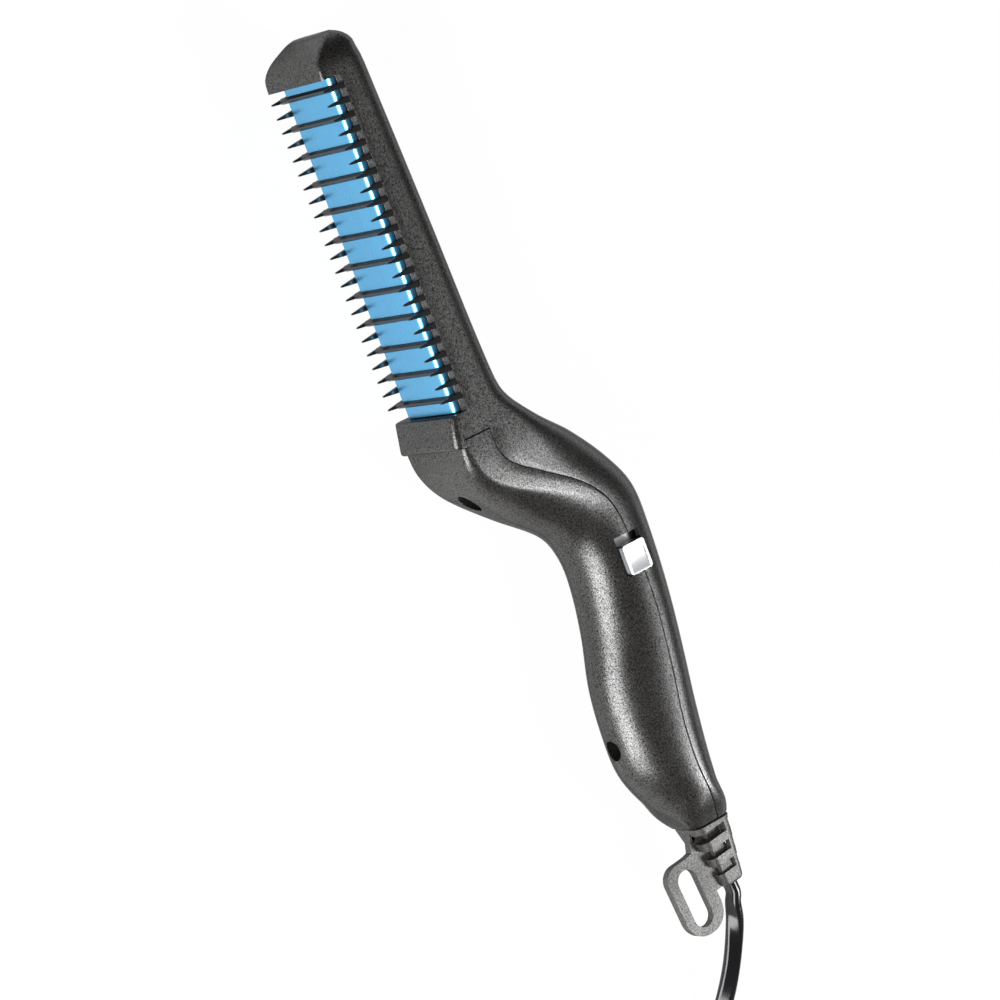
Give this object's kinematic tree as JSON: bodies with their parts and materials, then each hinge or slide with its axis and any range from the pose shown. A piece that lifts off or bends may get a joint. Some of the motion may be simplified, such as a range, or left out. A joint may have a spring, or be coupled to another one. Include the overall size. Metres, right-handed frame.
{
  "type": "beard and hair straightening comb",
  "caption": "Handheld heated comb with an S-bent handle, two rows of teeth over a heated plate, a slide switch, a hang loop and a flat mains lead in a tied bundle.",
  "frame": {"origin": "middle of the comb's own box, without its lead, on the face that it lies on", "axes": "+X from the tip of the head to the lead, +Y from the tooth tips to the back, +Z from the side that it lies on to the side with the slide switch"},
  "size_m": [0.4538, 0.0749, 0.03],
  "materials": {
    "housing_plastic": "fine-grained satin",
    "comb_plastic": "smooth satin",
    "plate_aluminium": "satin, light blue coating",
    "heater_ceramic": "matte ceramic",
    "polyimide_film": "clear amber film",
    "spring_steel": "bright",
    "tray_plastic": "matte, heat resistant",
    "fuse_case": "bright",
    "fuse_sleeve": "woven glass sleeve",
    "lead_red": "silicone",
    "lead_blue": "silicone",
    "switch_plastic": "satin",
    "terminal_brass": "tinned",
    "knob_chrome": "mirror",
    "crimp_metal": "satin",
    "core_brown": "satin",
    "core_blue": "satin",
    "dark_screw_steel": "blackened",
    "plated_screw_steel": "zinc plated",
    "cord_jacket": "glossy",
    "relief_rubber": "satin",
    "tie_rubber": "satin",
    "plug_plastic": "satin",
    "pin_brass": "nickel plated"
  },
  "bodies": {
    "housing": {"back_shell": "housing_plastic", "front_shell": "housing_plastic", "housing_screws": "dark_screw_steel", "comb_frame": "comb_plastic", "heating_plate": "plate_aluminium", "ptc_heater": "heater_ceramic", "insulating_film": "polyimide_film", "heater_clip": "spring_steel", "heater_tray": "tray_plastic", "thermal_fuse": "fuse_case", "fuse_sleeve": "fuse_sleeve", "heater_lead_live": "lead_red", "heater_lead_neutral": "lead_blue", "switch_body": "switch_plastic", "switch_terminals": "terminal_brass", "wire_connector": "crimp_metal", "live_core": "core_brown", "neutral_core": "core_blue", "cord_clamp": "switch_plastic", "clamp_screws": "plated_screw_steel", "cord_tail": "cord_jacket", "strain_relief": "relief_rubber", "cord": "cord_jacket", "cord_coil": "cord_jacket", "cord_tie": "tie_rubber", "cord_plug_end": "cord_jacket", "plug_body": "plug_plastic", "plug_pins": "pin_brass"},
    "switch": {"switch_knob": "knob_chrome", "switch_slider": "switch_plastic"}
  },
  "joints": [
    {"name": "switch_slide", "type": "slide", "parent": "housing", "child": "switch", "axis": [-1, 0, 0], "range_m": [0, 0.0022]}
  ]
}
